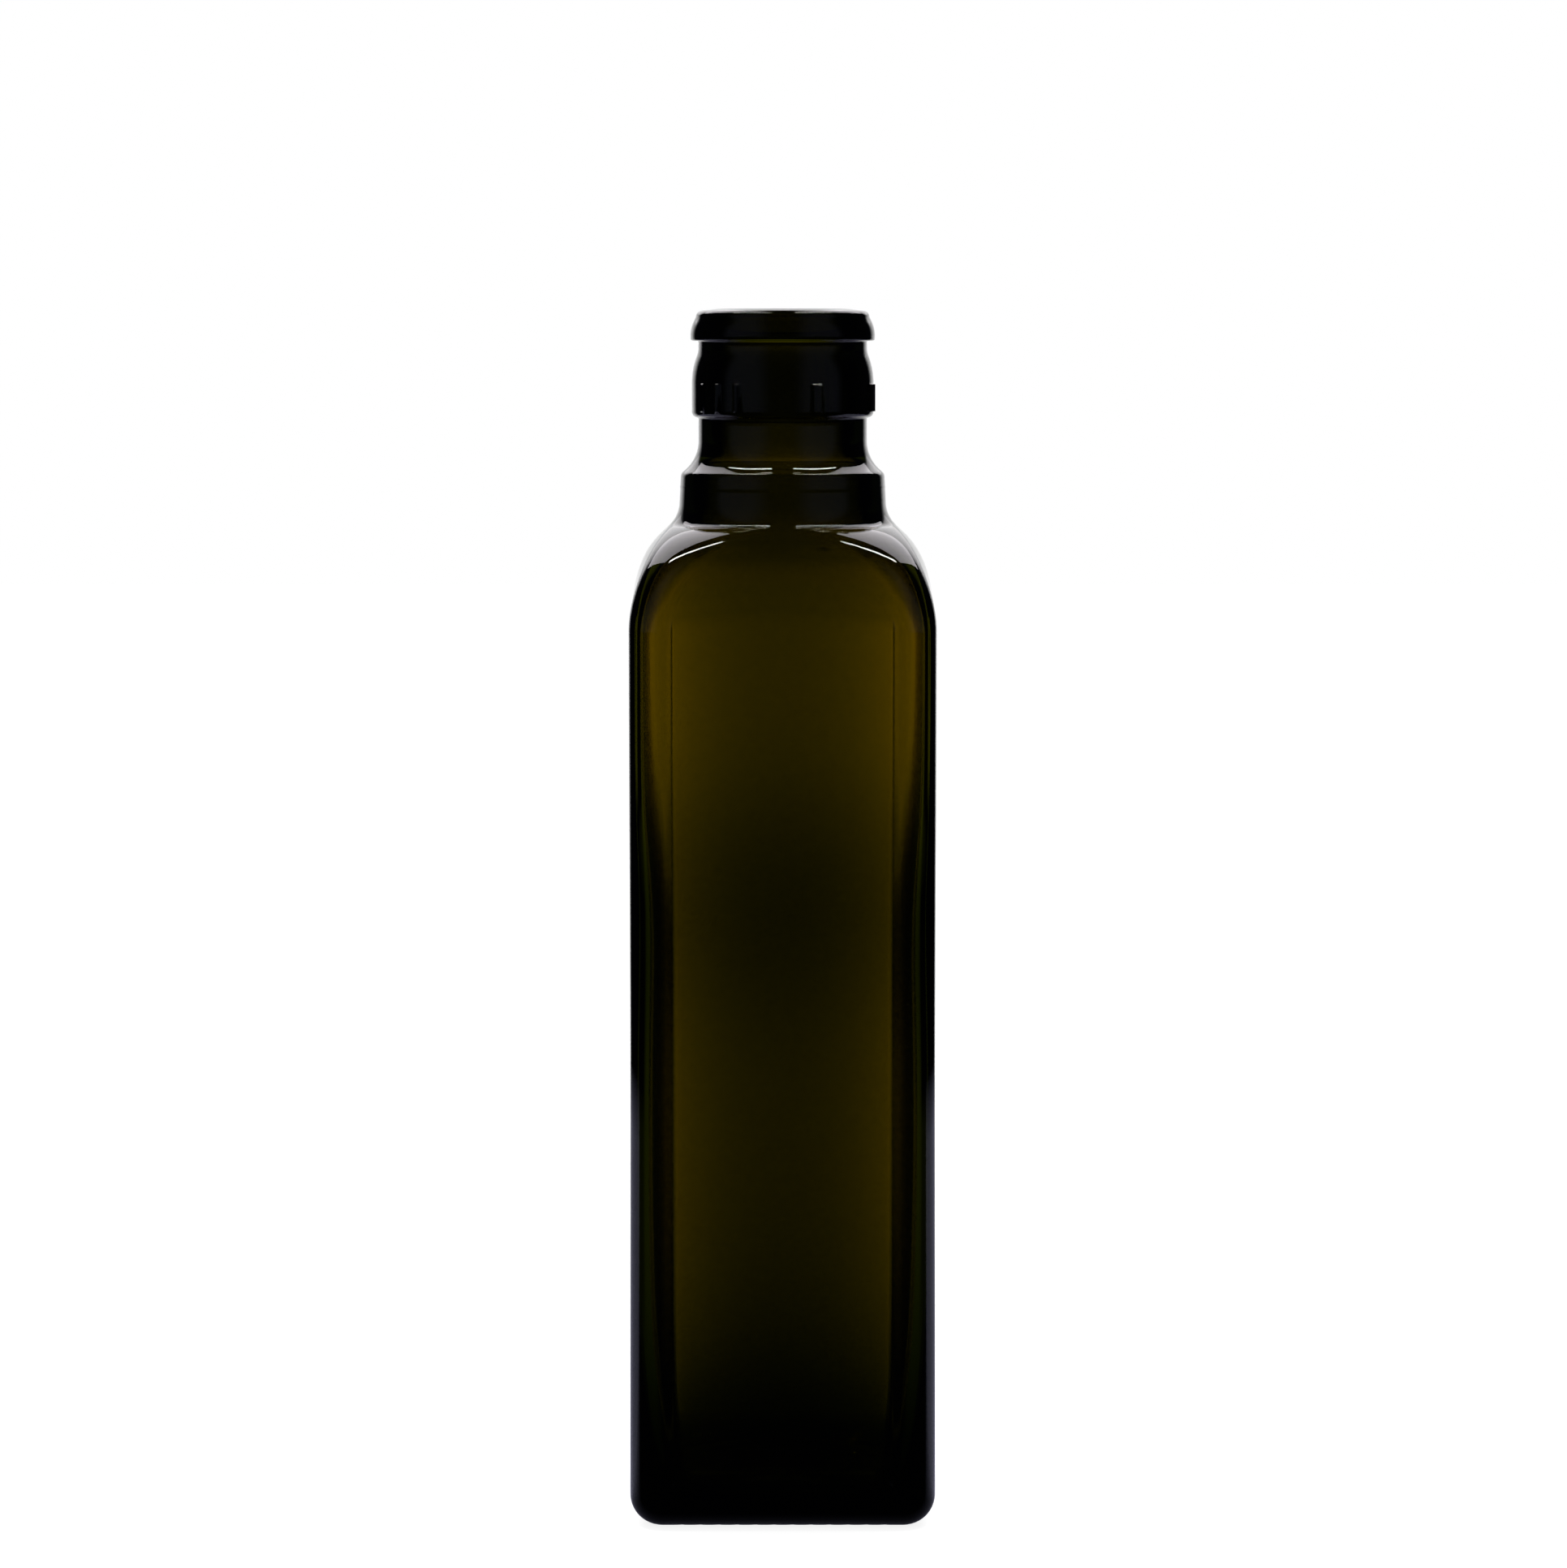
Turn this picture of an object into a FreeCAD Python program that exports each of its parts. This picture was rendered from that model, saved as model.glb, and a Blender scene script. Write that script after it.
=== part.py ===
"""Square half-litre glass bottle with a finish for a press-on pourer, blown in one piece.

Millimetres, +Z up.  The bottle stands on z = 0 and its axis is the Z axis.
The front face looks along -Y.
"""
import FreeCAD, Part
import math
import os

from FreeCAD import Placement, Rotation, Vector

# ---------------------------------------------------------------- body, outside
body_width = 59.5            # across two opposite faces
body_corner_radius = 6.5     # upright corners
body_height = 174.5          # from the base to where the shoulder begins
heel_radius = 6.0            # between the faces and the base
heel_clearance = 0.3         # the heel stays this much tighter than the corners
panel_margin = 2.15          # from an upright corner to the recessed label panel
panel_depth = 0.25
panel_bottom = 9.0           # lower edge of the panel above the base
panel_bevel = 0.9            # width of the panel's sloping border

# ---------------------------------------------------------------- shoulder
shoulder_height = 19.95      # up to the sweep round the collar
shoulder_fullness = 14.5     # how far up each face pulls the curve before it turns in
shoulder_lead = 2.5          # how far out the slope at the top pulls it
shoulder_slope = 45.0        # degrees, where the shoulder meets the sweep
collar_sweep = 6.25          # hollow radius between the shoulder and the collar

# ---------------------------------------------------------------- bore and finish
bore_radius = 12.0
mouth_edge_radius = 0.7
neck_wall = 4.55
neck_sweep = 7.5             # hollow radius between the collar's ledge and the neck
neck_height = 4.55           # straight part below the ratchet ring
collar_projection = 3.75     # beyond the neck, at the collar's foot
collar_draft = 0.25          # how much smaller it is at the top
collar_height = 4.8          # from the end of the sweep to the top of the side
collar_edge_radius = 1.5
collar_ledge_slope = 38.0    # the ledge falls outwards at this angle
ring_projection = 1.3        # ratchet ring, beyond the neck
ring_height = 6.75
ring_edge_radius = 1.1
ring_taper_height = 6.95     # the ring draws in to the groove over this height
groove_radius = 4.5          # hollow radius where the taper runs into the groove
groove_height = 1.3
lip_projection = 1.55        # beyond the neck at its widest, just above the groove
lip_taper = 1.05             # how much smaller it is where the top edge begins
lip_swell = 0.35             # how far the side of the lip swells out of a straight cone
lip_height = 6.3
lip_top_slope = 7.0          # degrees, the top falls outwards from the mouth
lip_lower_radius = 0.45
lip_edge_radius = 1.3

ratchet_teeth = 3            # in each of two opposite fans
ratchet_pitch = 15.5         # degrees
ratchet_centre = -46.2       # degrees from the front, seen from above
ratchet_height = 0.45
ratchet_ramp = 1.2           # from the foot of a tooth's ramp to its crest
ratchet_back = 0.5           # run of its steep back
drive_lug_angle = 22.0       # two opposite lugs
drive_lug_width = 2.4
locating_pad_angle = 90.0    # one broad flat pad, on the right-hand side
locating_pad_width = 12.0
lug_height = 0.25            # lugs and pad stand out this far beyond the ring
lug_edge_radius = 0.22
lug_root = 0.8               # how deep teeth and lugs are set into the ring

# ---------------------------------------------------------------- inside
collar_wall = 4.9            # the bore widens inside the collar to leave this wall
bore_draw_in = 11.0          # height over which it draws in again to the neck
bore_draw_in_rise = 2.2      # the draw-in ends this far above the neck's foot
bore_sweep = 9.0             # hollow radius from the inner shoulder into the collar
wall_upper = 2.3             # wall beside the corners, below the shoulder
wall_lower = 3.0             # the same in the lower body
wall_change_height = 133.0
wall_change_spread = 9.0
face_bow = 1.25              # the middle of each face is thicker by this much
settle_wave = 0.45           # thicker band left by the two-step blowing
settle_bow = 0.2             # the same band at the middle of each face, on top of that
settle_height = 120.0
settle_spread = 23.0
foot_wall = 5.8              # glass that gathers at the foot, as if it ran on down to the base
foot_spread = 15.0
foot_bow = 1.6               # the same at the middle of each face, on top of that
foot_bow_spread = 14.0
inner_corner_radius = 3.4
shoulder_wall = 1.0          # the inner shoulder starts this much lower
inner_shoulder_height = 19.75
inner_shoulder_fullness = 14.0
inner_shoulder_lead = 5.5
base_thickness = 4.8
inner_heel_radius = 8.0

# ---------------------------------------------------------------- base
bearing_width = 8.75         # notched border of the base, measured in from each face
push_up_margin = 2.0         # plain ring between the notches and the hollow
push_up_depth = 3.2
bearing_notch_pitch = 3.6    # notches that leave ribs on the bearing ring
bearing_notch_depth = 0.25
bearing_notch_radius = 2.2

# ---------------------------------------------------------------- loft stations
shoulder_stations = 8
wall_stations = 12
heel_stations = 5
seam_angle = 3.0             # half the arc that stands for a face in a round section
overlap = 1.0                # how far solids and cutters run past what they meet

# ---------------------------------------------------------------- sizes that follow
half_width = body_width / 2.0
neck_radius = bore_radius + neck_wall
collar_radius = neck_radius + collar_projection
collar_bore_radius = collar_radius - collar_wall
ring_radius = neck_radius + ring_projection
lip_radius = neck_radius + lip_projection
lip_top_radius = lip_radius - lip_taper
bearing_inner = half_width - bearing_width
push_up_radius = bearing_inner - push_up_margin


def closed_wire(corners, middles):
    """Join arcs and lines: each piece runs from a corner past its middle to the next."""
    edges = []
    for index, start in enumerate(corners):
        end = corners[(index + 1) % len(corners)]
        middle = middles[index]
        chord = end - start
        bend = (middle - (start + end) * 0.5).Length
        if bend < chord.Length * 1e-6:
            edges.append(Part.LineSegment(start, end).toShape())
        else:
            edges.append(Part.Arc(start, middle, end).toShape())
    return Part.Wire(edges)


def ring_of_four(face_end, face_side, face_middle, corner_reach, z):
    """One closed section: four faces and four corners, the same all round.

    face_end is half the length of a face, face_side its distance from the axis there,
    face_middle the distance at its middle, and corner_reach each coordinate of the
    point where the corner crosses the diagonal.
    """
    corners = []
    middles = []
    for turn in range(4):
        spin = Rotation(Vector(0, 0, 1), 90.0 * turn)
        corners.append(spin.multVec(Vector(-face_end, -face_side, z)))
        middles.append(spin.multVec(Vector(0, -face_middle, z)))
        corners.append(spin.multVec(Vector(face_end, -face_side, z)))
        middles.append(spin.multVec(Vector(corner_reach, -corner_reach, z)))
    return closed_wire(corners, middles)


def square_section(face_middle, corner_radius, bow, z):
    """Square with rounded corners; bow is how far each face swells in at its middle."""
    face_side = face_middle + bow
    face_end = face_side - corner_radius
    corner_reach = face_end + corner_radius * math.sqrt(0.5)
    return ring_of_four(face_end, face_side, face_middle, corner_reach, z)


def round_section(radius, z):
    """Circle cut into the same eight pieces as a square section."""
    angle = math.radians(seam_angle)
    return ring_of_four(radius * math.sin(angle), radius * math.cos(angle), radius,
                        radius * math.sqrt(0.5), z)


def shoulder_curve(face, start, height, fullness, lead, top_radius, sweep):
    """Stations (distance, height) of a shoulder from a face up to its round top.

    The curve leaves the face upright and comes in at shoulder_slope where the hollow
    sweep round the collar begins.
    """
    slope = math.radians(shoulder_slope)
    foot = top_radius + sweep * (1.0 - math.sin(slope))
    top = start + height
    curve = Part.BezierCurve()
    curve.setPoles([Vector(face, 0, start), Vector(face, 0, start + fullness),
                    Vector(foot + lead, 0, top - lead * math.tan(slope)),
                    Vector(foot, 0, top)])
    stations = []
    for step in range(shoulder_stations + 1):
        point = curve.value(step / shoulder_stations)
        stations.append((point.x, point.z))
    return stations


def shoulder_sections(stations, corner_radius, bow):
    """Sections of a shoulder: the corners grow until the top one is a circle."""
    first_face, first_height = stations[0]
    top_height = stations[-1][1]
    flat_first = first_face + bow - corner_radius
    sections = []
    for face, height in stations[:-1]:
        part = (height - first_height) / (top_height - first_height)
        fade = math.sqrt(1.0 - part * part)
        here_bow = bow * fade
        flat = flat_first * fade
        sections.append(square_section(face, face + here_bow - flat, here_bow, height))
    top_radius = stations[-1][0]
    sections.append(round_section(top_radius, top_height))
    return sections


def sweep_end(stations, sweep):
    """Height at which a hollow sweep that starts at the last station stands upright."""
    return stations[-1][1] + sweep * math.cos(math.radians(shoulder_slope))


def revolved(edges):
    """Solid of revolution about Z from the edges of a closed outline."""
    face = Part.Face(Part.Wire(edges))
    return face.revolve(Vector(0, 0, 0), Vector(0, 0, 1), 360)


class Outline:
    """Outline in the XZ plane, drawn as lines and arcs from one point to the next."""

    def __init__(self, x, z):
        self.here = Vector(x, 0, z)
        self.edges = []

    def line(self, x, z):
        end = Vector(x, 0, z)
        self.edges.append(Part.LineSegment(self.here, end).toShape())
        self.here = end

    def swell(self, x, z, rise):
        """Arc to a point that swells out from the straight way there, on its right."""
        end = Vector(x, 0, z)
        way = end - self.here
        out = Vector(way.z, 0, -way.x).normalize() * rise
        self.edges.append(Part.Arc(self.here, (self.here + end) * 0.5 + out, end).toShape())
        self.here = end

    def arc(self, centre_x, centre_z, radius, first, last):
        """Arc about a centre between two angles; a line joins it where it must."""
        points = []
        for part in (0.0, 0.5, 1.0):
            angle = math.radians(first + (last - first) * part)
            points.append(Vector(centre_x + radius * math.cos(angle), 0,
                                 centre_z + radius * math.sin(angle)))
        if (points[0] - self.here).Length > 1e-6:
            self.line(points[0].x, points[0].z)
        self.edges.append(Part.Arc(*points).toShape())
        self.here = points[2]


outer_shoulder = shoulder_curve(half_width, body_height, shoulder_height, shoulder_fullness,
                                shoulder_lead, collar_radius, collar_sweep)
collar_foot = sweep_end(outer_shoulder, collar_sweep)
collar_top = collar_foot + collar_height


def ledge_heights():
    """Heights of the neck's hollow foot, found from the slope of the collar's ledge."""
    slope = math.radians(collar_ledge_slope)
    top_radius = collar_radius - collar_draft
    edge_x = top_radius - collar_edge_radius * (1.0 - math.sin(slope))
    edge_z = collar_top + collar_edge_radius * math.cos(slope)
    foot_x = neck_radius + neck_sweep * (1.0 - math.sin(slope))
    foot_z = edge_z + (edge_x - foot_x) * math.tan(slope)
    return foot_x, foot_z, foot_z + neck_sweep * math.cos(slope)


neck_foot = ledge_heights()[2]
ring_bottom = neck_foot + neck_height
ring_top = ring_bottom + ring_height
groove_bottom = ring_top + ring_taper_height
lip_bottom = groove_bottom + groove_height
overall_height = lip_bottom + lip_height


def lip_top_heights():
    """Centre of the rounding at the mouth, and the height of the centre of the lip's edge."""
    slope = math.radians(lip_top_slope)
    mouth_x = bore_radius + mouth_edge_radius
    mouth_z = overall_height - mouth_edge_radius
    edge_x = lip_top_radius - lip_edge_radius
    spare = (lip_edge_radius - mouth_edge_radius) / math.cos(slope)
    return mouth_x, mouth_z, mouth_z - (edge_x - mouth_x) * math.tan(slope) - spare


def upper_outline():
    """Collar, neck and pourer finish as one turned shape, solid to the axis."""
    slope = collar_ledge_slope
    base_x, base_z = outer_shoulder[-1]
    draw = Outline(0, base_z - overlap)
    draw.line(base_x, base_z - overlap)
    draw.line(base_x, base_z)
    # hollow sweep up to the collar, then the drafted side and its rounded edge
    draw.arc(collar_radius + collar_sweep, collar_foot, collar_sweep, 180.0 + shoulder_slope, 180.0)
    top_radius = collar_radius - collar_draft
    draw.line(top_radius, collar_top)
    draw.arc(top_radius - collar_edge_radius, collar_top, collar_edge_radius, 0.0, 90.0 - slope)
    # sloping ledge and hollow foot of the neck
    foot_x, foot_z, foot_end = ledge_heights()
    draw.line(foot_x, foot_z)
    draw.arc(neck_radius + neck_sweep, foot_end, neck_sweep, 270.0 - slope, 180.0)
    draw.line(neck_radius, ring_bottom)
    # ratchet ring, drawn in by two arcs that meet smoothly
    draw.line(ring_radius - ring_edge_radius, ring_bottom)
    draw.arc(ring_radius - ring_edge_radius, ring_bottom + ring_edge_radius,
             ring_edge_radius, -90.0, 0.0)
    draw.line(ring_radius, ring_top)
    lean = 2.0 * math.atan(ring_projection / ring_taper_height)
    taper_radius = ring_taper_height / math.sin(lean) - groove_radius
    turn = math.degrees(lean)
    draw.arc(ring_radius - taper_radius, ring_top, taper_radius, 0.0, turn)
    draw.arc(neck_radius + groove_radius, groove_bottom, groove_radius, 180.0 + turn, 180.0)
    # groove, undercut and swelling side of the lip
    draw.line(neck_radius, lip_bottom)
    draw.line(lip_radius - lip_lower_radius, lip_bottom)
    draw.arc(lip_radius - lip_lower_radius, lip_bottom + lip_lower_radius,
             lip_lower_radius, -90.0, 0.0)
    mouth_x, mouth_z, edge_z = lip_top_heights()
    draw.swell(lip_top_radius, edge_z, lip_swell)
    # rounded edge, top that falls outwards, and the rounding at the mouth
    steep = 90.0 - lip_top_slope
    draw.arc(lip_top_radius - lip_edge_radius, edge_z, lip_edge_radius, 0.0, steep)
    draw.arc(mouth_x, mouth_z, mouth_edge_radius, steep, 90.0)
    draw.line(0, overall_height)
    draw.line(0, base_z - overlap)
    return draw.edges


def settle_share(z):
    """How much of the settle band is felt at a height, from 0 to 1."""
    return math.exp(-((z - settle_height) / settle_spread) ** 2)


def wall_beside_corner(z):
    """Wall at the ends of a face: thicker low down, at the settle band and at the foot."""
    change = 1.0 / (1.0 + math.exp((z - wall_change_height) / wall_change_spread))
    foot = foot_wall * math.exp(-z / foot_spread)
    return wall_upper + (wall_lower - wall_upper) * change + settle_wave * settle_share(z) + foot


def face_pool(z):
    """Extra glass at the middle of a face."""
    return face_bow + settle_bow * settle_share(z) + foot_bow * math.exp(-z / foot_bow_spread)


inner_foot = base_thickness + inner_heel_radius
inner_start = body_height - shoulder_wall
inner_face = half_width - wall_beside_corner(inner_start) - face_pool(inner_start)
inner_shoulder = shoulder_curve(inner_face, inner_start, inner_shoulder_height,
                                inner_shoulder_fullness, inner_shoulder_lead,
                                collar_bore_radius, bore_sweep)


def heel_sections():
    """Sections of the inside from the floor to the foot of the walls."""
    bow = face_pool(inner_foot)
    foot_face = half_width - wall_beside_corner(inner_foot) - bow
    sections = []
    for step in range(heel_stations + 1):
        angle = math.radians(90.0 * step / heel_stations)
        inward = inner_heel_radius * (1.0 - math.sin(angle))
        z = inner_foot - inner_heel_radius * math.cos(angle)
        sections.append(square_section(foot_face - inward, inner_corner_radius, bow, z))
    return sections


def wall_sections():
    """Sections of the inside up the four walls."""
    sections = []
    for step in range(wall_stations + 1):
        z = inner_foot + (inner_start - inner_foot) * step / wall_stations
        bow = face_pool(z)
        face = half_width - wall_beside_corner(z) - bow
        sections.append(square_section(face, inner_corner_radius, bow, z))
    return sections


def bore_outline():
    """Inside of the collar and neck, open at the mouth."""
    base_x, base_z = inner_shoulder[-1]
    sweep_top = sweep_end(inner_shoulder, bore_sweep)
    draw = Outline(0, base_z - overlap)
    draw.line(base_x, base_z - overlap)
    draw.line(base_x, base_z)
    draw.arc(collar_bore_radius + bore_sweep, sweep_top, bore_sweep, 180.0 + shoulder_slope, 180.0)
    # the bore draws in again inside the ledge, by two equal arcs
    lean = 2.0 * math.atan((collar_bore_radius - bore_radius) / bore_draw_in)
    radius = bore_draw_in / 2.0 / math.sin(lean)
    turn = math.degrees(lean)
    end = neck_foot + bore_draw_in_rise
    draw.line(collar_bore_radius, end - bore_draw_in)
    draw.arc(collar_bore_radius - radius, end - bore_draw_in, radius, 0.0, turn)
    draw.arc(bore_radius + radius, end, radius, 180.0 + turn, 180.0)
    draw.line(bore_radius, overall_height - mouth_edge_radius)
    draw.arc(bore_radius + mouth_edge_radius, overall_height - mouth_edge_radius,
             mouth_edge_radius, 180.0, 90.0)
    draw.line(bore_radius + mouth_edge_radius, overall_height + overlap)
    draw.line(0, overall_height + overlap)
    draw.line(0, base_z - overlap)
    return draw.edges


def body_block():
    """Square body with its rounded heel, which stays inside the upright corners."""
    section = square_section(half_width, body_corner_radius, 0.0, 0.0)
    block = Part.Face(section).extrude(Vector(0, 0, body_height))
    heel_edges = [edge for edge in block.Edges if edge.BoundBox.ZMax < 0.001]
    return block.makeFillet(min(heel_radius, body_corner_radius - heel_clearance), heel_edges)


def panel_frame(half, bottom, y):
    """Upright rectangle at a distance y from the axis; it runs out above the shoulder."""
    top = outer_shoulder[-1][1]
    corners = [Vector(-half, -y, bottom), Vector(half, -y, bottom),
               Vector(half, -y, top), Vector(-half, -y, top)]
    return Part.makePolygon(corners + corners[:1])


def panel_cutter():
    """Bevelled recess of the front label panel: the border slopes in to the flat."""
    half = half_width - body_corner_radius - panel_margin
    inner = panel_frame(half, panel_bottom, half_width - panel_depth)
    grow = panel_bevel * 2.0
    outer = panel_frame(half + grow, panel_bottom - grow, half_width + panel_depth)
    return Part.makeLoft([outer, inner], True, True)


def push_up():
    """Ball that hollows the base."""
    radius = (push_up_radius ** 2 + push_up_depth ** 2) / (2.0 * push_up_depth)
    return radius, push_up_depth - radius


def bearing_notch_cutters():
    """Round-bottomed notches that leave ribs on the bearing ring of the front side."""
    half_notch = math.sqrt(bearing_notch_depth * (2.0 * bearing_notch_radius - bearing_notch_depth))
    pairs = int((bearing_inner - half_notch) / bearing_notch_pitch + 0.5)
    cutters = []
    for step in range(2 * pairs):
        x = (step - pairs + 0.5) * bearing_notch_pitch
        start = Vector(x, -bearing_inner, bearing_notch_depth - bearing_notch_radius)
        cutters.append(Part.makeCylinder(bearing_notch_radius, bearing_width, start,
                                         Vector(0, -1, 0)))
    return cutters


def on_ring(shape, angle):
    """Turn a shape made on the right-hand side to its angle from the front."""
    turned = shape.copy()
    turned.Placement = Placement(Vector(0, 0, 0), Rotation(Vector(0, 0, 1), angle - 90.0))
    return turned


def ratchet_tooth():
    """Saw tooth on the ring: a steep back on its left and a long ramp on its right."""
    inside = ring_radius - lug_root
    crest = ring_radius + ratchet_height
    low = ring_bottom + ring_edge_radius
    root = (ratchet_height + lug_root) / ratchet_height
    outline = [Vector(inside, -ratchet_back * root, low), Vector(crest, 0, low),
               Vector(inside, ratchet_ramp * root, low)]
    wire = Part.makePolygon(outline + outline[:1])
    return Part.Face(wire).extrude(Vector(0, 0, ring_top - low))


def ring_lug(width):
    """Flat-topped lug on the ring with its outer edges rounded."""
    half = width / 2.0
    inside = math.sqrt(ring_radius ** 2 - half ** 2) - lug_root
    crest = ring_radius + lug_height
    low = ring_bottom + ring_edge_radius
    block = Part.makeBox(crest - inside, width, ring_top - low, Vector(inside, -half, low))
    outer = [edge for edge in block.Edges if edge.BoundBox.XMin > crest - 0.001]
    return block.makeFillet(lug_edge_radius, outer)


def finish_lugs():
    """Ratchet teeth in two opposite fans, two drive lugs and the locating pad."""
    lugs = []
    for side in (0.0, 180.0):
        for step in range(ratchet_teeth):
            angle = ratchet_centre + (step - (ratchet_teeth - 1) / 2.0) * ratchet_pitch
            lugs.append(on_ring(ratchet_tooth(), angle + side))
        lugs.append(on_ring(ring_lug(drive_lug_width), drive_lug_angle + side))
    lugs.append(on_ring(ring_lug(locating_pad_width), locating_pad_angle))
    return lugs


def cavity():
    """Everything inside the glass, from the floor out through the mouth."""
    over = shoulder_sections(inner_shoulder, inner_corner_radius, face_pool(inner_start))
    rooms = [Part.makeLoft(sections, True, False)
             for sections in (heel_sections(), wall_sections(), over)]
    room = rooms[0].fuse(rooms[1:] + [revolved(bore_outline())])
    ball_radius, ball_height = push_up()
    floor = Part.makeSphere(ball_radius + base_thickness, Vector(0, 0, ball_height))
    return room.cut(floor)


def bottle():
    """The whole bottle: outer skin, its relief, and then the inside taken out."""
    shoulder = Part.makeLoft(shoulder_sections(outer_shoulder, body_corner_radius, 0.0),
                             True, False)
    finish = revolved(upper_outline())
    outside = body_block().fuse([shoulder, finish] + finish_lugs())

    ball_radius, ball_height = push_up()
    cutters = [Part.makeSphere(ball_radius, Vector(0, 0, ball_height))]
    for turn in range(4):
        spin = Placement(Vector(0, 0, 0), Rotation(Vector(0, 0, 1), 90.0 * turn))
        for cutter in [panel_cutter()] + bearing_notch_cutters():
            turned = cutter.copy()
            turned.Placement = spin.multiply(turned.Placement)
            cutters.append(turned)
    return outside.cut(cutters).cut(cavity())


os.makedirs("parts", exist_ok=True)
glass = bottle()
solid = glass.Solids[0]
solid.exportStep("parts/bottle.step")
box = solid.optimalBoundingBox(True, False)
print("solids", len(glass.Solids), "valid", solid.isValid())
print("size", round(box.XLength, 2), round(box.YLength, 2), round(box.ZLength, 2))
print("glass cm3", round(solid.Volume / 1000.0, 1), "faces", len(solid.Faces))
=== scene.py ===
import math

import bpy
import numpy as np
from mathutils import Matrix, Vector, noise


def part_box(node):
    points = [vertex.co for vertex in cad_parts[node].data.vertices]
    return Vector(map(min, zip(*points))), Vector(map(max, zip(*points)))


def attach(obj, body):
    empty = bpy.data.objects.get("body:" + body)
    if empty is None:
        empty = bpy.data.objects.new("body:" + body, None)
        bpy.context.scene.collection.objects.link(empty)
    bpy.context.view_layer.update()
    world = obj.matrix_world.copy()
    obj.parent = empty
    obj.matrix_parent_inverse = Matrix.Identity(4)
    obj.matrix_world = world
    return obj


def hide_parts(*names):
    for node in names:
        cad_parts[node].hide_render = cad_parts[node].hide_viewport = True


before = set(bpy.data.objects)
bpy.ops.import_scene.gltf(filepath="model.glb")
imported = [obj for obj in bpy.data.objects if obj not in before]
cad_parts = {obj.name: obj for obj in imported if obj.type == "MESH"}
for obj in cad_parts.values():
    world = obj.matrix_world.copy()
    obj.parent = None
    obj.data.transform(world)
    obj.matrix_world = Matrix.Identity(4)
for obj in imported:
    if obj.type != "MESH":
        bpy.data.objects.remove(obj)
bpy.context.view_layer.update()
cadLow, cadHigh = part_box("bottle")
mm = 0.001
print("packed bottle loaded, box", [round(v / mm, 2) for v in cadHigh - cadLow])

# every length down to the glass is in millimetres, and heights are measured from the base
body = {
    "width": (cadHigh.x - cadLow.x) / mm,
    "cornerRadius": 6.5,
    "height": 174.5,          # up to where the shoulder begins
    "waist": 0.13,            # how far the faces draw in, strongest at waistHeight
    "waistHeight": 95.0,
    "waistSpread": 45.0,
    "heelRadius": 6.0,
    "panelMargin": 2.15,      # from the corner to the recessed label panel
    "panelDepth": 0.25,
    "panelBottom": 9.0,
    "panelBevel": 0.45,
    "edgeSoftness": 0.02,     # how softly the panel meets the shoulder
    "sharpAngle": 40.0,       # degrees, edges that turn more than this stay sharp
}
shoulder = {
    "height": 19.95,
    "fullness": 14.5,         # how far up the face pulls the curve
    "lead": 2.5,              # how far out the slope at the top pulls it
    "slope": 45.0,
    "sweep": 6.25,            # hollow radius up to the collar
    "archHeight": 19.95,      # the corners have rounded off to a circle this far up
    "cornerHold": 2.3,        # higher keeps the corners tight for longer
    "swell": 0.25,            # how far its faces round off towards a circle
    "swellEnd": 0.9,          # the share of the height by which they have done so
}
finish = {
    "top": cadHigh.z / mm,
    "bore": 12.0,
    "mouthEdge": 0.7,
    "neckWall": 4.55,
    "neckSweep": 7.5,
    "neckHeight": 4.55,
    "collarProjection": 3.75,
    "collarDraft": 0.25,
    "collarHeight": 4.8,
    "collarEdge": 1.5,
    "ledgeSlope": 38.0,
    "seamHeight": 1.9,        # parting line of the two moulds, down from the collar's top
    "seamProud": 0.08,
    "seamHalf": 0.22,         # half its width
    "seamMargin": 0.9,        # plain glass either side of it
    "ringProjection": 1.3,
    "ringHeight": 6.75,
    "ringEdge": 1.1,
    "taperHeight": 6.95,
    "grooveRadius": 4.5,      # hollow where the ring's taper runs into the groove
    "grooveHeight": 1.3,
    "lipProjection": 1.55,
    "lipTaper": 1.05,
    "lipSwell": 0.35,         # how far its side swells out of a straight cone
    "lipHeight": 6.3,
    "lipTopSlope": 7.0,       # degrees, the top falls outwards from the mouth
    "lipLowerEdge": 0.45,
    "lipEdge": 1.3,
    "insideCorner": 0.3,      # small hollow radius wherever the finish turns inwards
    "underRing": 1.5,         # plain neck below the ratchet ring
}
lugs = {
    "teeth": 3,               # in each of two opposite fans
    "pitch": 15.5,            # degrees
    "centre": -46.2,          # degrees from the front
    "toothHeight": 0.45,
    "toothRamp": 1.2,
    "toothBack": 0.5,
    "driveAngle": 22.0,
    "driveWidth": 2.4,
    "padAngle": 90.0,         # one broad flat pad, on the right-hand side
    "padWidth": 12.0,
    "padFacing": 0.5,         # cosine of the angle from its middle, beyond which it can't reach
    "height": 0.25,
    "edge": 0.3,
    "endRun": 0.2,            # teeth, lugs and pad rise over this at their two ends
}
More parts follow.
